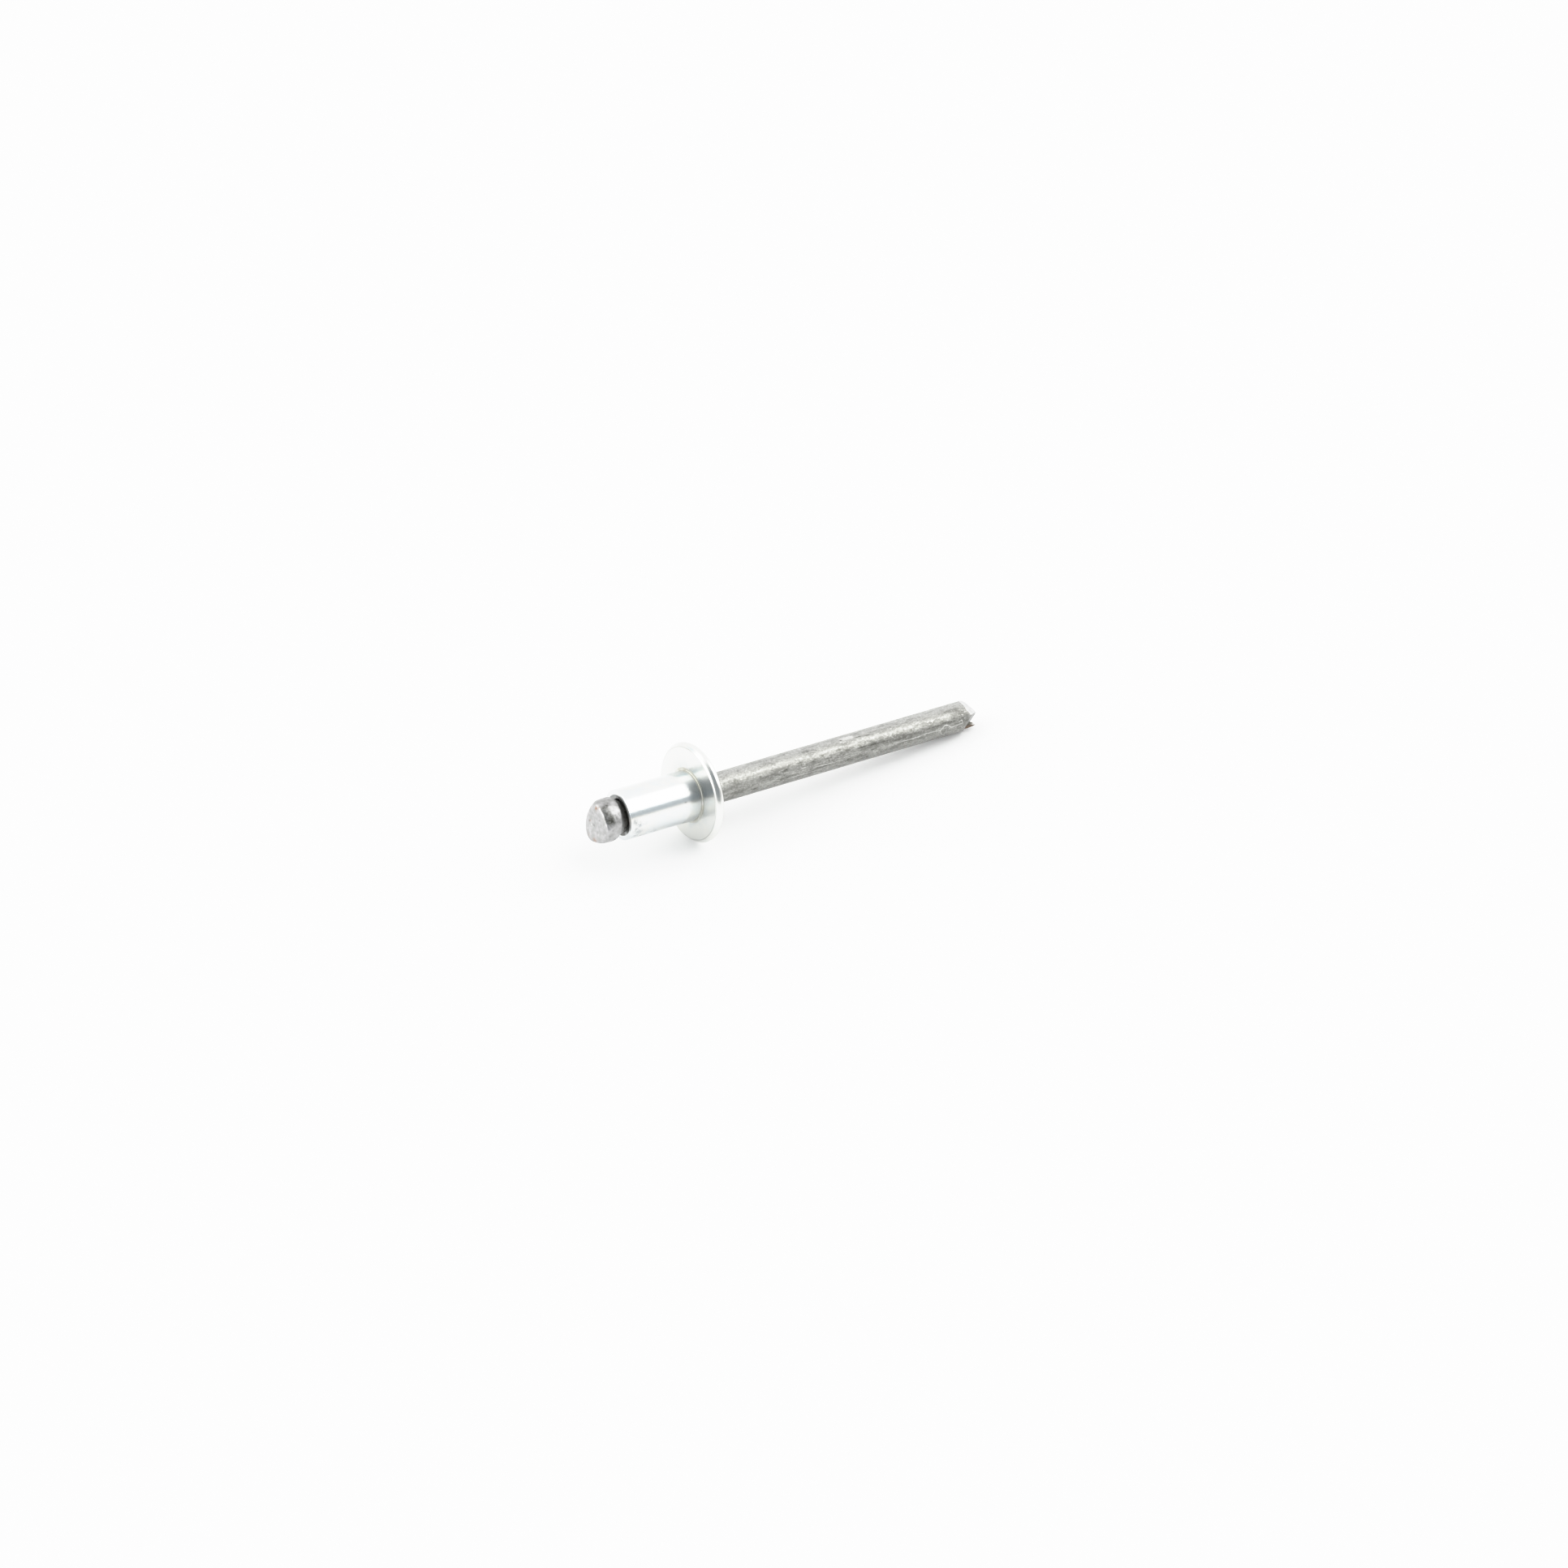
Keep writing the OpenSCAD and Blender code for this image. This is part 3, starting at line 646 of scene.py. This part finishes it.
# ---------------------------------------------------------------- materials
class Nodes:
    def __init__(self, tree):
        self.t = tree

    def new(self, kind, **props):
        n = self.t.nodes.new(kind)
        for k, v in props.items():
            setattr(n, k, v)
        return n

    def put(self, value, socket):
        if isinstance(value, bpy.types.NodeSocket):
            self.t.links.new(value, socket)
        else:
            socket.default_value = value

    def math(self, op, a, b=0.0, c=0.0, clamp=False):
        n = self.new("ShaderNodeMath", operation=op, use_clamp=clamp)
        for v, s in zip((a, b, c), n.inputs):
            self.put(v, s)
        return n.outputs[0]

    def vec(self, op, a, b=(0, 0, 0)):
        n = self.new("ShaderNodeVectorMath", operation=op)
        self.put(a, n.inputs[0])
        self.put(b, n.inputs[1])
        return n.outputs["Value"] if op in ("DOT_PRODUCT", "LENGTH") else n.outputs[0]

    def range(self, x, a, b, lo=0.0, hi=1.0, kind="SMOOTHSTEP"):
        n = self.new("ShaderNodeMapRange", interpolation_type=kind)
        for v, s in zip((x, a, b, lo, hi), n.inputs):
            self.put(v, s)
        return n.outputs[0]

    def mix(self, f, a, b, kind="MIX"):
        n = self.new("ShaderNodeMix", data_type="RGBA", blend_type=kind)
        self.put(f, n.inputs[0])
        self.put(a if isinstance(a, bpy.types.NodeSocket) else (*a, 1.0), n.inputs[6])
        self.put(b if isinstance(b, bpy.types.NodeSocket) else (*b, 1.0), n.inputs[7])
        return n.outputs[2]

    def attr(self, name, out="Fac"):
        return self.new("ShaderNodeAttribute", attribute_name=name).outputs[out]

    def noise(self, vector, scale, detail=2.0, rough=0.5, stretch=None, distort=0.0, offset=(0, 0, 0)):
        if stretch or any(offset):
            m = self.new("ShaderNodeMapping")
            self.put(vector, m.inputs[0])
            m.inputs["Location"].default_value = offset
            m.inputs["Scale"].default_value = stretch or (1, 1, 1)
            vector = m.outputs[0]
        n = self.new("ShaderNodeTexNoise")
        self.put(vector, n.inputs["Vector"])
        n.inputs["Scale"].default_value = scale
        n.inputs["Detail"].default_value = detail
        n.inputs["Roughness"].default_value = rough
        n.inputs["Distortion"].default_value = distort
        return n.outputs[0]

    def bump(self, height, strength, distance, normal=None):
        n = self.new("ShaderNodeBump")
        n.inputs["Strength"].default_value = strength
        n.inputs["Distance"].default_value = distance
        self.put(height, n.inputs["Height"])
        if normal is not None:
            self.put(normal, n.inputs["Normal"])
        return n.outputs[0]


def material(name):
    m = bpy.data.materials.new(name)
    m.use_nodes = True
    m.node_tree.nodes.clear()
    k = Nodes(m.node_tree)
    bsdf = k.new("ShaderNodeBsdfPrincipled")
    out = k.new("ShaderNodeOutputMaterial")
    m.node_tree.links.new(bsdf.outputs[0], out.inputs[0])
    bsdf.inputs["Metallic"].default_value = 1.0
    return m, k, bsdf


def zinc():
    m, k, bsdf = material("zinc_plated_steel")
    at = k.attr("local_mm", "Vector")
    broad = k.noise(at, 0.55, 2.0)
    fine = k.noise(at, 5.0, 3.0, 0.6, (0.45, 1, 1))
    grain = k.noise(at, 16.0, 2.0, 0.6, (0.5, 1, 1))
    cloud = k.noise(at, 1.6, 3.0, 0.55, (0.6, 1, 1), 0.3, (7, 3, 1))
    colour = k.mix(k.range(broad, 0.35, 0.65), (0.735, 0.76, 0.77), (0.765, 0.765, 0.745))
    colour = k.mix(k.math("MULTIPLY", k.range(cloud, 0.5, 0.7), 0.35), colour, (0.67, 0.71, 0.73))
    colour = k.mix(k.math("MULTIPLY", k.range(fine, 0.52, 0.75), 0.16), colour, (0.55, 0.59, 0.62))
    # painted reflection tints along the barrel, then painted shade in the barrel-flange corner
    colour = k.mix(k.math("MULTIPLY", k.attr("blue_tint_and_reflection"), 0.9), colour, (0.70, 0.755, 0.785))
    colour = k.mix(k.math("MULTIPLY", k.attr("warm_tint_and_reflection"), 0.7), colour, (0.765, 0.765, 0.735))
    colour = k.mix(k.math("MULTIPLY", k.attr("corner"), 0.8), colour, (0.66, 0.67, 0.645))
    colour = k.mix(k.math("MULTIPLY", k.attr("corner"), k.range(cloud, 0.42, 0.62, 0.0, 0.35)), colour, (0.50, 0.54, 0.58))
    colour = k.mix(k.math("MULTIPLY", k.attr("joint"), 0.8), colour, (0.46, 0.44, 0.365))
    # the painted line in the flange's crease: dirt and a painted dark reflection
    colour = k.mix(k.attr("crease_dirt_and_reflection"), colour, (0.20, 0.20, 0.185))
    blot = k.noise(at, 2.6, 4.0, 0.7, None, 0.6)
    smudge = k.math("MULTIPLY", k.attr("smudge"), k.range(blot, 0.38, 0.56))
    colour = k.mix(k.math("MULTIPLY", smudge, 0.95), colour, (0.34, 0.35, 0.36))
    colour = k.mix(k.attr("speck"), colour, (0.13, 0.11, 0.09))
    # painted shade inside the mouth
    mouth_shade = k.attr("mouth_shade")
    colour = k.mix(k.math("MULTIPLY", mouth_shade, k.range(blot, 0.25, 0.55, 0.85, 1.0)), colour, (0.11, 0.108, 0.10))
    k.put(colour, bsdf.inputs["Base Color"])
    rough = k.math("MULTIPLY_ADD", fine, 0.10, 0.17)
    rough = k.math("MULTIPLY_ADD", smudge, 0.25, rough)
    rough = k.math("MULTIPLY_ADD", mouth_shade, 0.3, rough)
    rough = k.math("MULTIPLY_ADD", k.attr("joint"), 0.35, rough)
    k.put(rough, bsdf.inputs["Roughness"])
    n1 = k.bump(fine, 0.55, 0.000006)
    n2 = k.bump(grain, 0.5, 0.000003, n1)
    k.put(n2, bsdf.inputs["Normal"])
    return m


def steel():
    m, k, bsdf = material("drawn_steel")
    at = k.attr("local_mm", "Vector")
    streaky = k.attr("streaky")
    head = k.attr("headness")
    bevel = k.attr("bevel")
    broad = k.noise(at, 1.3, 3.0, 0.55, (0.3, 1, 1), 0.2, (11, 5, 2))
    grain = k.noise(at, 6.0, 4.0, 0.7, (0.75, 1, 1))
    speck = k.noise(at, 4.6, 2.0, 0.5, (0.55, 1, 1), 0.3, (2, 8, 5))
    dash = k.noise(at, 8.0, 2.5, 0.55, (0.13, 1, 1), 0.2, (9, 1, 4))
    thread = k.noise(at, 13.0, 2.0, 0.5, (0.07, 1, 1), 0.1, (3, 1, 7))
    # the wire's colour is painted lighter on top and darker on its near side, as painted light and shade
    colour = k.mix(k.attr("painted_side_shade"), (0.53, 0.53, 0.52), (0.335, 0.335, 0.315))
    mid = k.math("MULTIPLY_ADD", k.attr("painted_side_shade"), 0.55, 0.30)
    blotch = k.noise(at, 2.1, 5.0, 0.66, (0.27, 1, 1), 0.15, (1, 4, 8))
    colour = k.mix(k.math("MULTIPLY", k.range(blotch, 0.47, 0.63), mid), colour, (0.20, 0.20, 0.185))
    colour = k.mix(k.math("MULTIPLY", k.range(blotch, 0.48, 0.34), 0.16), colour, (0.62, 0.62, 0.605))
    quiet = k.math("SUBTRACT", 1.0, k.math("MULTIPLY", head, 0.75))
    colour = k.mix(k.math("MULTIPLY", k.range(grain, 0.46, 0.70, 0.0, 0.50), quiet), colour, (0.22, 0.22, 0.205))
    colour = k.mix(k.math("MULTIPLY", k.range(grain, 0.48, 0.30, 0.0, 0.46), quiet), colour, (0.70, 0.70, 0.685))
    rough_part = k.math("SUBTRACT", 1.0, k.math("MULTIPLY", k.attr("calm"), 0.8))
    colour = k.mix(k.math("MULTIPLY", k.range(speck, 0.60, 0.70, 0.0, 0.75), rough_part), colour, (0.17, 0.17, 0.145))
    dashes = k.math("MULTIPLY", k.range(dash, 0.53, 0.64), streaky)
    colour = k.mix(k.math("MULTIPLY", dashes, 0.55), colour, (0.20, 0.20, 0.185))
    threads = k.math("MULTIPLY", k.range(thread, 0.60, 0.67), streaky)
    colour = k.mix(k.math("MULTIPLY", threads, 0.5), colour, (0.66, 0.66, 0.635))
    mottled = k.noise(at, 1.9, 3.0, 0.55, None, 0.2, (4, 9, 1))
    patch = k.noise(at, 6.5, 2.0, 0.5, None, 0.0, (1, 2, 3))
    nose = k.mix(k.range(mottled, 0.34, 0.66), (0.40, 0.40, 0.395), (0.51, 0.505, 0.51))
    nose = k.mix(k.math("MULTIPLY", k.range(patch, 0.56, 0.74), 0.35), nose, (0.30, 0.30, 0.29))
    colour = k.mix(head, colour, nose)
    cut = k.noise(at, 9.0, 2.0, 0.5, (0.2, 1, 0.2))
    colour = k.mix(bevel, colour, k.mix(k.range(cut, 0.35, 0.65), (0.56, 0.56, 0.56), (0.68, 0.68, 0.68)))
    # dirt, and painted shade and dark reflections
    colour = k.mix(k.math("MULTIPLY", k.attr("dirt_and_shade"), k.range(grain, 0.36, 0.60, 0.55, 1.0)), colour, (0.095, 0.095, 0.083))
    # wear, and painted highlights and glints
    colour = k.mix(k.math("MULTIPLY", k.attr("wear_and_glints"), 0.9), colour, (0.86, 0.86, 0.84))
    rust = k.math("MULTIPLY", k.attr("rust"), k.range(patch, 0.30, 0.55, 0.4, 1.0), clamp=True)
    colour = k.mix(rust, colour, (0.34, 0.17, 0.08))
    k.put(colour, bsdf.inputs["Base Color"])
    k.put(k.math("SUBTRACT", 1.0, k.math("MULTIPLY", rust, 0.6)), bsdf.inputs["Metallic"])
    rough = k.math("MULTIPLY_ADD", grain, 0.20, 0.33)
    rough = k.math("MULTIPLY_ADD", rust, 0.3, rough)
    k.put(rough, bsdf.inputs["Roughness"])
    n1 = k.bump(broad, 0.5, 0.00003)
    n2 = k.bump(grain, 1.0, 0.00003, n1)
    k.put(k.math("MULTIPLY_ADD", head, -0.6, 1.0), n2.node.inputs["Strength"])
    n3 = k.bump(threads, 0.5, 0.000006, n2)
    k.put(n3, bsdf.inputs["Normal"])
    return m


# ---------------------------------------------------------------- pieces
shell = add("rivet_shell", shell_mesh(), zinc())
out_facing(shell.data)
finish_mesh(shell.data, 40)

steel_material = steel()
mandrel = add("rivet_mandrel", mandrel_mesh(), steel_material)
burr = add("burr_part", burr_mesh(None), steel_material)
out_facing(mandrel.data)
out_facing(burr.data)
with bpy.context.temp_override(active_object=mandrel, object=mandrel, selected_objects=[mandrel, burr], selected_editable_objects=[mandrel, burr]):
    bpy.ops.object.join()
finish_mesh(mandrel.data, 40)

for piece, node, slot in ((shell, "rivet_body", "zinc_plated_steel"), (mandrel, "mandrel", "drawn_steel")):
    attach(piece, "root")
    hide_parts(node)

# ---------------------------------------------------------------- floor, surroundings and camera
# The floor glows a little, as a lit table does, so that the shadows stay faint.
FLOOR_ALBEDO, FLOOR_GLOW = 0.86, 0.11
floor_mesh = bpy.data.meshes.new("floor")
q = 3.0
floor_mesh.from_pydata([(-q, -q, FLOOR_Z), (q, -q, FLOOR_Z), (q, q, FLOOR_Z), (-q, q, FLOOR_Z)], [], [(0, 1, 2, 3)])
floor = bpy.data.objects.new("floor", floor_mesh)
bpy.context.scene.collection.objects.link(floor)
fm = bpy.data.materials.new("floor")
fm.use_nodes = True
fb = fm.node_tree.nodes["Principled BSDF"]
fb.inputs["Base Color"].default_value = (FLOOR_ALBEDO, FLOOR_ALBEDO, FLOOR_ALBEDO, 1)
fb.inputs["Roughness"].default_value = 0.9
fb.inputs["Specular IOR Level"].default_value = 0.0
fb.inputs["Emission Color"].default_value = (1, 1, 1, 1)
fb.inputs["Emission Strength"].default_value = FLOOR_GLOW
floor_mesh.materials.append(fm)

w = bpy.data.worlds.new("studio")
bpy.context.scene.world = w
w.use_nodes = True
w.node_tree.nodes.clear()
k = Nodes(w.node_tree)
direction = k.vec("NORMALIZE", k.new("ShaderNodeTexCoord").outputs["Generated"])
LEVEL = 1.0


def unit(v):
    return tuple(Vector(v).normalized())


def disc(colour_in, centre, inner, outer, colour):
    d = k.vec("DOT_PRODUCT", direction, unit(centre))
    f = k.range(d, math.cos(math.radians(outer)), math.cos(math.radians(inner)))
    return k.mix(f, colour_in, colour)


def panel(colour_in, centre, right, half_w, half_h, soft, colour):
    """A soft-edged rectangle in the sky: centre direction, sideways direction, half sizes in degrees."""
    c = Vector(centre).normalized()
    r = Vector(right)
    r = (r - r.dot(c) * c).normalized()
    up = c.cross(r)
    dc = k.vec("DOT_PRODUCT", direction, tuple(c))
    dr = k.math("DIVIDE", k.vec("DOT_PRODUCT", direction, tuple(r)), k.math("MAXIMUM", dc, 0.02))
    du = k.math("DIVIDE", k.vec("DOT_PRODUCT", direction, tuple(up)), k.math("MAXIMUM", dc, 0.02))
    f = None
    for x, half in ((dr, half_w), (du, half_h)):
        t0, t1 = math.tan(math.radians(half + soft)), math.tan(math.radians(half))
        g = k.range(k.math("ABSOLUTE", x), t0, t1)
        f = g if f is None else k.math("MULTIPLY", f, g)
    f = k.math("MULTIPLY", f, k.math("GREATER_THAN", dc, 0.02))
    return k.mix(f, colour_in, colour)


sky = k.mix(k.range(k.vec("DOT_PRODUCT", direction, (0, 0, 1)), 0.0, 0.9), (1.27, 1.27, 1.26), (1.33, 1.33, 1.33))
sky = disc(sky, (-0.457, 0.704, 0.544), 5, 14, (0.98, 1.10, 1.15))
sky = disc(sky, (-0.43, 0.40, 0.80), 6, 19, (2.3, 2.3, 2.25))
sky = panel(sky, (-0.92, 0.10, 0.37), (-0.11, -0.99, 0), 27, 13, 8, (4.3, 4.3, 4.27))
sky = disc(sky, (-0.48, -0.676, 0.5586), 20, 56, (0.315, 0.345, 0.365))
sky = panel(sky, (0.52, -0.815, 0.255), (0.86, 0.5, 0), 30, 9, 7, (0.60, 0.61, 0.61))
sky = panel(sky, (0.578, -0.395, 0.714), (0.811, 0.253, -0.527), 32, 20, 8, (2.7, 2.7, 2.68))
bg = k.new("ShaderNodeBackground")
bg.inputs["Strength"].default_value = LEVEL
k.put(sky, bg.inputs["Color"])
wo = k.new("ShaderNodeOutputWorld")
w.node_tree.links.new(bg.outputs[0], wo.inputs[0])



def from_local(u, y, n):
    return Vector((u * CT + n * ST, y, -u * ST + n * CT))


back = from_local(-0.533538, -0.67645, 0.507693).normalized()
cam_data = bpy.data.cameras.new("camera")
cam_data.sensor_width = 36.0
cam_data.lens = 133.157
cam_data.clip_start, cam_data.clip_end = 0.01, 20
cam = bpy.data.objects.new("camera", cam_data)
bpy.context.scene.collection.objects.link(cam)
cam.location = from_local(-0.2790783, -0.3679696, 0.2742975)
cam.rotation_mode = "QUATERNION"
cam.rotation_quaternion = (-back).to_track_quat("-Z", "Y")
bpy.context.scene.camera = cam

# The picture keeps its tones up to 0.85 and rolls off above that, as a camera's does.
SHOULDER = ((0.2, 0.2), (0.4, 0.4), (0.6, 0.6), (0.75, 0.75), (0.85, 0.84), (1.0, 0.92), (1.15, 0.95), (1.4, 0.98))
scene = bpy.context.scene
scene.view_settings.view_transform = "Standard"
scene.view_settings.use_curve_mapping = True
curve = scene.view_settings.curve_mapping
curve.white_level = (2, 2, 2)
points = curve.curves[3].points
for x, y in SHOULDER:
    points.new(x / 2, y)
curve.update()
scene.view_settings.look = "None"
scene.view_settings.exposure = 0.0
scene.view_settings.gamma = 1.0
